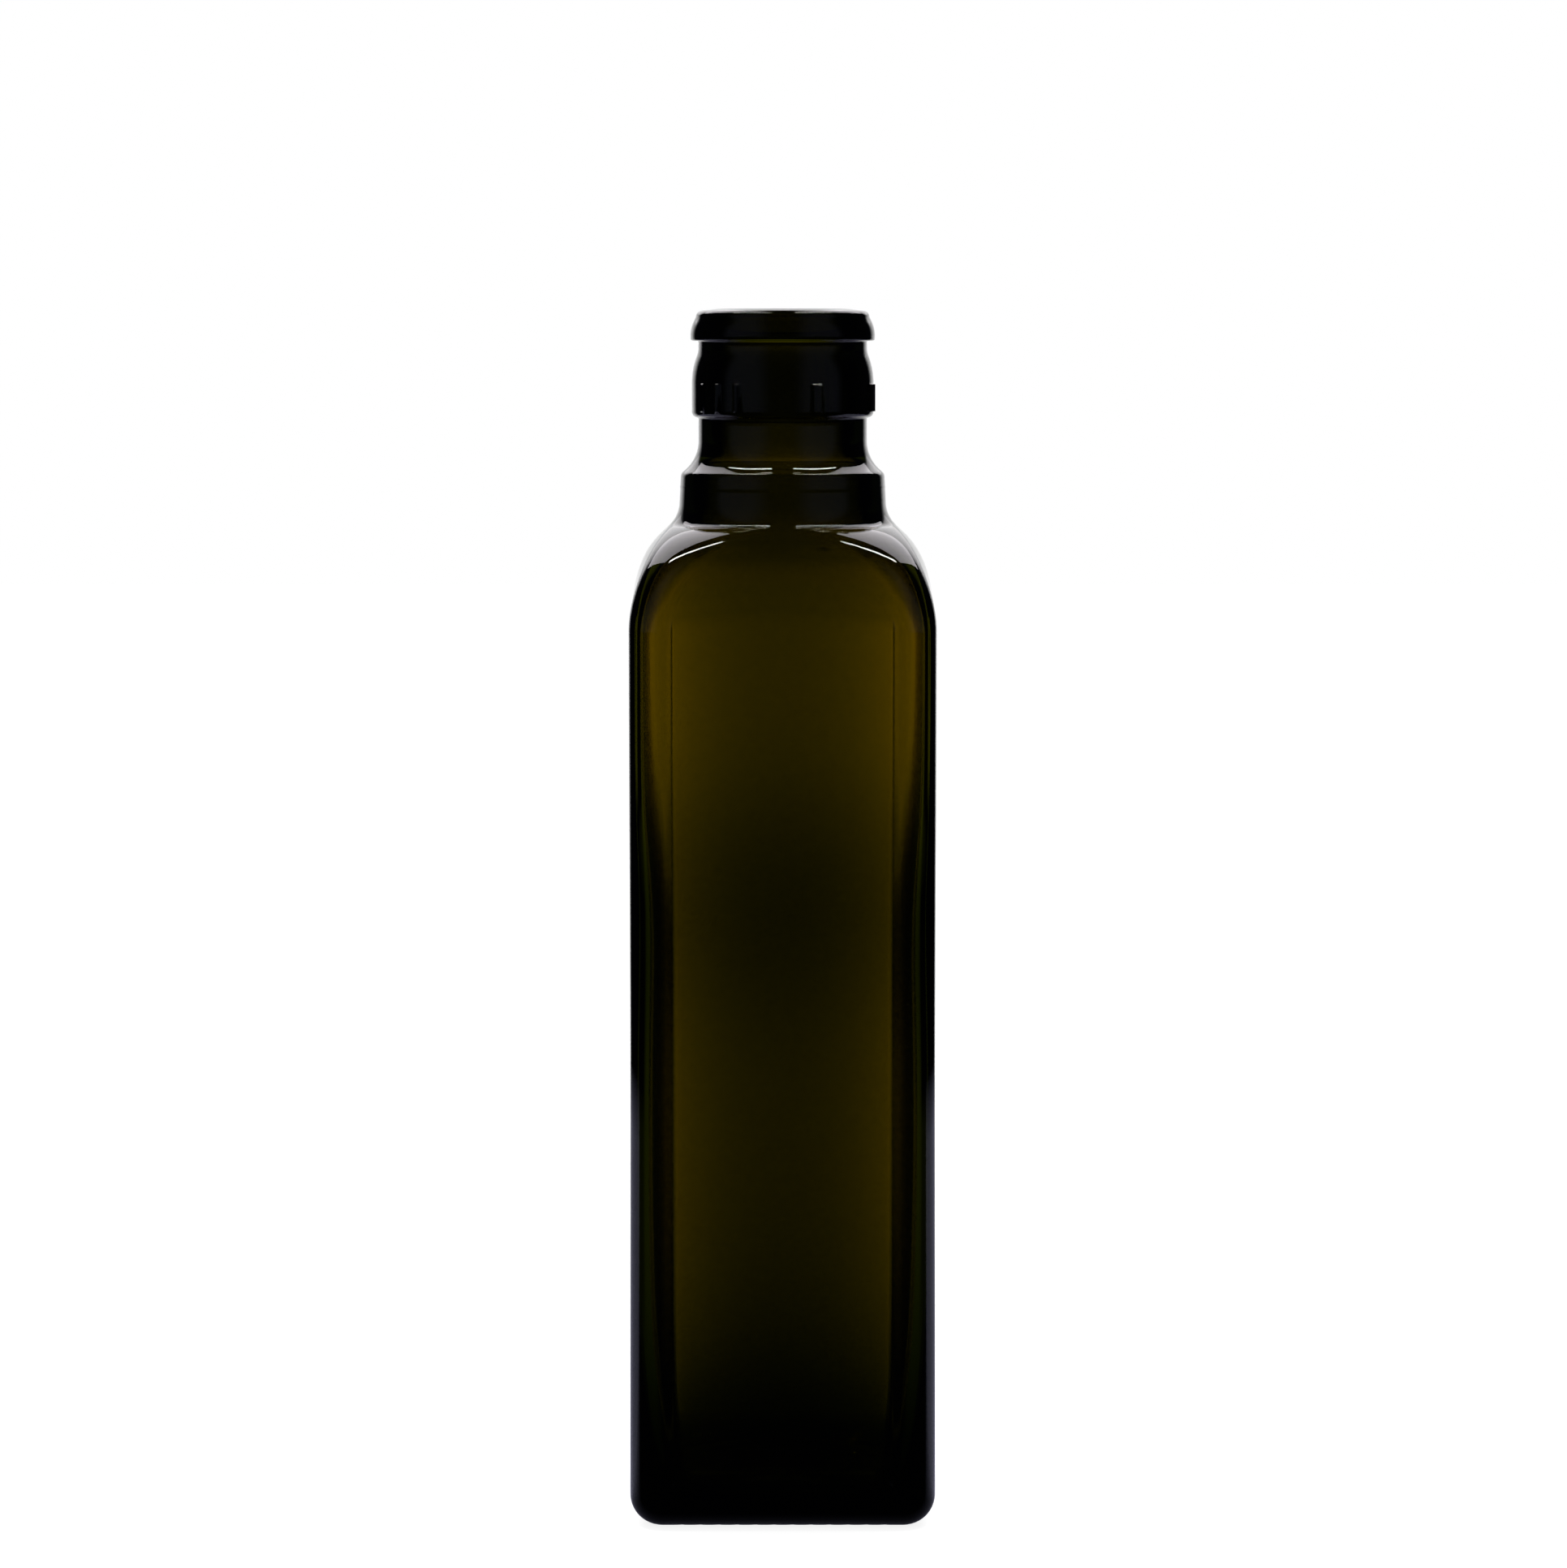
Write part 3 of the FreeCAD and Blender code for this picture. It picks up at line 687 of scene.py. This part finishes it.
def glassMaterial():
    material = bpy.data.materials.new("oliveGlass")
    material.use_nodes = True
    nodes, links = material.node_tree.nodes, material.node_tree.links
    shader = nodes["Principled BSDF"]
    shader.inputs["Base Color"].default_value = (*glass["tint"], 1)
    place = nodes.new("ShaderNodeTexCoord").outputs["Object"]

    def pattern(scale, detail):
        node = nodes.new("ShaderNodeTexNoise")
        node.inputs["Scale"].default_value = scale
        node.inputs["Detail"].default_value = detail
        links.new(place, node.inputs["Vector"])
        return node.outputs["Fac"]

    dull = nodes.new("ShaderNodeMapRange")
    for end, name in (("From", "smudgeRange"), ("To", "roughness")):
        low, high = glass[name]
        dull.inputs[end + " Min"].default_value = low
        dull.inputs[end + " Max"].default_value = high
    links.new(pattern(glass["smudge"], glass["smudgeDetail"]), dull.inputs["Value"])
    links.new(dull.outputs["Result"], shader.inputs["Roughness"])
    normal = None
    for name in ("wave", "grain"):
        bump = nodes.new("ShaderNodeBump")
        bump.inputs["Distance"].default_value = glass[name + "Height"]
        links.new(pattern(glass[name], glass[name + "Detail"]), bump.inputs["Height"])
        if normal is not None:
            links.new(normal, bump.inputs["Normal"])
        normal = bump.outputs["Normal"]
    links.new(normal, shader.inputs["Normal"])
    shader.inputs["IOR"].default_value = glass["ior"]
    shader.inputs["Transmission Weight"].default_value = 1.0
    absorb = nodes.new("ShaderNodeVolumeAbsorption")
    absorb.inputs["Color"].default_value = (*glass["absorb"], 1)
    absorb.inputs["Density"].default_value = glass["density"]
    links.new(absorb.outputs["Volume"], nodes["Material Output"].inputs["Volume"])
    return material


def makeBottle():
    piece = bpy.data.objects.new("glassBottle", bottleMesh())
    bpy.context.scene.collection.objects.link(piece)
    piece.data.shade_smooth()
    piece.data.set_sharp_from_angle(angle=math.radians(body["sharpAngle"]))
    piece.data.materials.append(glassMaterial())
    return piece


bottlePiece = makeBottle()
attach(bottlePiece, "root")
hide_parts("bottle")
print("bottle made,", len(bottlePiece.data.vertices), "points,",
      sum(len(p.vertices) - 2 for p in bottlePiece.data.polygons), "triangles")

# the studio, in metres and degrees from here on
stage = {
    "floorWidth": 8.0,
    "floorGap": 0.0001,       # the floor lies this much below the base
    "floorColour": (0.4, 0.4, 0.4, 1),
    "floorGlow": 0.86,
    "worldPlain": 0.4,
    "screenEdge": 20.0,       # the white screen reaches this far either side of straight back
    "screenFade": 18.0,
    "screenTop": 26.0,        # and this far above the horizon
    "screenTopFade": 10.0,
    "asideEdge": 8.0,         # what shows through has one to each side too, this far across
    "tableReach": 0.7,        # the pale table mirrored in the glass reaches this far
    "tableFade": 0.8,         # it starts to fade at this share of its reach
    "tableFront": (-0.03, 0.0),           # and towards the camera, from none to full
    "tableMirror": (0.33, 0.33, 0.45, 1),
    "darkRoom": (0.004, 0.004, 0.006, 1),
    "dimSides": (0.05, 0.055, 0.075, 1),  # dim room to the left and right of the camera
    "dimAcross": (0.2, 0.6),              # how far across it starts and is full, of 1
    "dimBack": (-0.1, -0.35),             # how far towards the camera
    "white": (1.0, 1.0, 1.0, 1.0),
}


def calculate(nodes, links, operation, *values):
    node = nodes.new("ShaderNodeMath")
    node.operation = operation
    for socket, value in zip(node.inputs, values):
        if isinstance(value, float):
            socket.default_value = value
        else:
            links.new(value, socket)
    return node.outputs[0]


def ramp(nodes, links, value, none, full, kind="SMOOTHSTEP"):
    # 0 up to one value and 1 beyond the other
    share = nodes.new("ShaderNodeMapRange")
    share.interpolation_type = kind
    share.inputs["From Min"].default_value = none
    share.inputs["From Max"].default_value = full
    links.new(value, share.inputs["Value"])
    return share.outputs["Result"]


def parts(nodes, links, vector):
    split = nodes.new("ShaderNodeSeparateXYZ")
    links.new(vector, split.inputs[0])
    return split.outputs


def chooseShader(nodes, links, flag, first, second):
    # the second where the flag is 1
    node = nodes.new("ShaderNodeMixShader")
    for socket, value in zip(node.inputs, (flag, first, second)):
        links.new(value, socket)
    return node.outputs[0]


def heading(nodes, links, vector):
    # a direction laid flat: its Y is 1 straight behind the bottle
    flat = nodes.new("ShaderNodeVectorMath")
    flat.operation = "MULTIPLY"
    flat.inputs[1].default_value = (1, 1, 0)
    links.new(vector, flat.inputs[0])
    unit = nodes.new("ShaderNodeVectorMath")
    unit.operation = "NORMALIZE"
    links.new(flat.outputs[0], unit.inputs[0])
    return parts(nodes, links, unit.outputs[0])


def within(nodes, links, value, edge):
    # 1 where a heading is nearer its axis than the edge, 0 past the fade
    return ramp(nodes, links, value, math.cos(math.radians(edge + stage["screenFade"])),
                math.cos(math.radians(edge)))


def screenShare(nodes, links, vector, path):
    # the white screen stands behind the bottle, and what shows through has one on each side
    along = heading(nodes, links, vector)
    shares = [within(nodes, links, calculate(nodes, links, "ABSOLUTE", along[axis]), stage[edge])
              for axis, edge in (("Y", "screenEdge"), ("X", "asideEdge"))]
    through = calculate(nodes, links, "MULTIPLY", path["Is Transmission Ray"],
                        calculate(nodes, links, "MAXIMUM", *shares))
    behind = within(nodes, links, along["Y"], stage["screenEdge"])
    return calculate(nodes, links, "MAXIMUM", behind, through)


def sideShare(nodes, links, vector):
    # 1 to the left and right of the camera, 0 at the camera and behind the bottle
    split = parts(nodes, links, vector)
    across = calculate(nodes, links, "ABSOLUTE", split["X"])
    return calculate(nodes, links, "MULTIPLY", ramp(nodes, links, across, *stage["dimAcross"]),
                     ramp(nodes, links, split["Y"], *stage["dimBack"]))


def mixColour(nodes, links, factor, first, second):
    mix = nodes.new("ShaderNodeMix")
    mix.data_type = "RGBA"
    links.new(factor, mix.inputs["Factor"])
    for name, value in (("A", first), ("B", second)):
        if isinstance(value, tuple):
            mix.inputs[name].default_value = value
        else:
            links.new(value, mix.inputs[name])
    return mix.outputs["Result"]


def emission(nodes, links, colour=None, strength=None):
    light = nodes.new("ShaderNodeEmission")
    if colour is not None:
        links.new(colour, light.inputs["Color"])
    if strength is not None:
        links.new(strength, light.inputs["Strength"])
    return light.outputs[0]


def floorMaterial():
    material = bpy.data.materials.new("whiteFloor")
    material.use_nodes = True
    nodes, links = material.node_tree.nodes, material.node_tree.links
    nodes.clear()
    output = nodes.new("ShaderNodeOutputMaterial")
    path = nodes.new("ShaderNodeLightPath").outputs
    matte = nodes.new("ShaderNodeBsdfDiffuse")
    matte.inputs["Color"].default_value = stage["floorColour"]
    seen = calculate(nodes, links, "MAXIMUM", path["Is Camera Ray"], path["Is Transmission Ray"])
    plain = nodes.new("ShaderNodeAddShader")
    links.new(matte.outputs[0], plain.inputs[0])
    links.new(emission(nodes, links, strength=calculate(nodes, links, "MULTIPLY", seen,
                                                        stage["floorGlow"])), plain.inputs[1])
    # what the glass mirrors of it: a pale table to the sides, the white screen behind
    geometry = nodes.new("ShaderNodeNewGeometry").outputs
    place = geometry["Position"]
    reach = nodes.new("ShaderNodeVectorMath")
    reach.operation = "LENGTH"
    links.new(place, reach.inputs[0])
    onTable = ramp(nodes, links, reach.outputs["Value"], stage["tableReach"],
                   stage["tableReach"] * stage["tableFade"], "LINEAR")
    beside = ramp(nodes, links, parts(nodes, links, place)["Y"], *stage["tableFront"], "LINEAR")
    table = calculate(nodes, links, "MULTIPLY", onTable, beside)
    sides = mixColour(nodes, links, table, stage["darkRoom"], stage["tableMirror"])
    mirrored = mixColour(nodes, links, screenShare(nodes, links, place, path), sides,
                         stage["white"])
    shown = chooseShader(nodes, links, path["Is Glossy Ray"], plain.outputs[0],
                         emission(nodes, links, colour=mirrored))
    # looked at from below, the floor is clear
    under = calculate(nodes, links, "MULTIPLY", path["Is Camera Ray"], geometry["Backfacing"])
    clear = nodes.new("ShaderNodeBsdfTransparent").outputs[0]
    links.new(chooseShader(nodes, links, under, shown, clear), output.inputs["Surface"])
    return material


def makeFloor():
    mesh = bpy.data.meshes.new("studioFloor")
    w, z = stage["floorWidth"] / 2, -stage["floorGap"]
    mesh.from_pydata([(-w, -w, z), (w, -w, z), (w, w, z), (-w, w, z)], [], [(0, 1, 2, 3)])
    mesh.materials.append(floorMaterial())
    floor = bpy.data.objects.new("studioFloor", mesh)
    bpy.context.scene.collection.objects.link(floor)
    return floor


def makeWorld():
    world = bpy.data.worlds.new("studio")
    bpy.context.scene.world = world
    world.use_nodes = True
    nodes, links = world.node_tree.nodes, world.node_tree.links
    nodes.clear()
    output = nodes.new("ShaderNodeOutputWorld")
    path = nodes.new("ShaderNodeLightPath").outputs
    place = nodes.new("ShaderNodeTexCoord").outputs["Generated"]

    def background(colour, strength=1.0):
        node = nodes.new("ShaderNodeBackground")
        if isinstance(colour, tuple):
            node.inputs["Color"].default_value = colour
        else:
            links.new(colour, node.inputs["Color"])
        node.inputs["Strength"].default_value = strength
        return node.outputs[0]

    sides = mixColour(nodes, links, sideShare(nodes, links, place), stage["darkRoom"],
                      stage["dimSides"])
    low = math.sin(math.radians(stage["screenTop"]))
    high = math.sin(math.radians(stage["screenTop"] + stage["screenTopFade"]))
    screen = calculate(nodes, links, "MULTIPLY", screenShare(nodes, links, place, path),
                       ramp(nodes, links, parts(nodes, links, place)["Z"], high, low))
    mirrored = mixColour(nodes, links, screen, sides, stage["white"])
    plain = chooseShader(nodes, links, path["Is Camera Ray"],
                         background(stage["white"], stage["worldPlain"]),
                         background(stage["white"]))
    links.new(chooseShader(nodes, links, path["Is Glossy Ray"], plain, background(mirrored)),
              output.inputs["Surface"])


# lamps stand in pairs behind and above the bottle, the same left and right
lamps = {
    "height": 0.19,           # they are arranged round this height on the bottle's axis
    "card": {"elevation": 21.0, "distance": 1.5, "aside": 0.475, "turn": 0.0,
             "size": (0.85, 0.475), "power": 0.76, "colour": (1.0, 0.96, 1.0)},
    "softbox": {"elevation": 50.0, "distance": 1.3, "aside": 0.57, "turn": 0.0,
                "size": (0.86, 0.946), "power": 6.1, "colour": (1.0, 0.96, 1.0)},
    "strip": {"elevation": 87.3, "distance": 1.25, "aside": 0.51, "turn": 33.6,
              "size": (0.82, 0.07), "power": 3.6, "colour": (1.0, 1.0, 1.0)},
}


def addLamp(name, side):
    lamp = lamps[name]
    data = bpy.data.lights.new(name, "AREA")
    data.shape = "RECTANGLE"
    data.size, data.size_y = lamp["size"]
    data.energy = lamp["power"]
    data.color = lamp["colour"]
    rise = math.radians(lamp["elevation"])
    piece = bpy.data.objects.new(name, data)
    piece.location = (side * lamp["aside"], lamp["distance"] * math.cos(rise),
                      lamps["height"] + lamp["distance"] * math.sin(rise))
    piece.rotation_euler = (rise - math.pi / 2, 0, math.radians(side * lamp["turn"]))
    piece.visible_transmission = False
    bpy.context.scene.collection.objects.link(piece)
    return piece


makeFloor()
makeWorld()
for side in (-1, 1):
    for name in ("card", "softbox", "strip"):
        addLamp(name, side)
print("stage, world and lamps made")

camera = {
    "distance": 1.1215,
    "height": 0.2336,
    "azimuth": 0.0,           # degrees round from the front
    "pitch": 4.613,           # degrees down
    "lens": 130.85,           # millimetres, on a sensor this wide
    "sensor": 36.0,
    "nearest": 0.05,          # metres, nothing nearer shows
    "aside": 0.00016,
}


def makeCamera():
    data = bpy.data.cameras.new("camera")
    data.lens = camera["lens"]
    data.sensor_width = camera["sensor"]
    data.clip_start = camera["nearest"]
    turn = math.radians(camera["azimuth"])
    eye = bpy.data.objects.new("camera", data)
    eye.location = (camera["distance"] * math.sin(turn) + camera["aside"],
                    -camera["distance"] * math.cos(turn), camera["height"])
    eye.rotation_euler = (math.radians(90 - camera["pitch"]), 0, turn)
    bpy.context.scene.collection.objects.link(eye)
    bpy.context.scene.camera = eye


makeCamera()
bpy.context.scene.view_settings.view_transform = "Standard"
print("camera set")
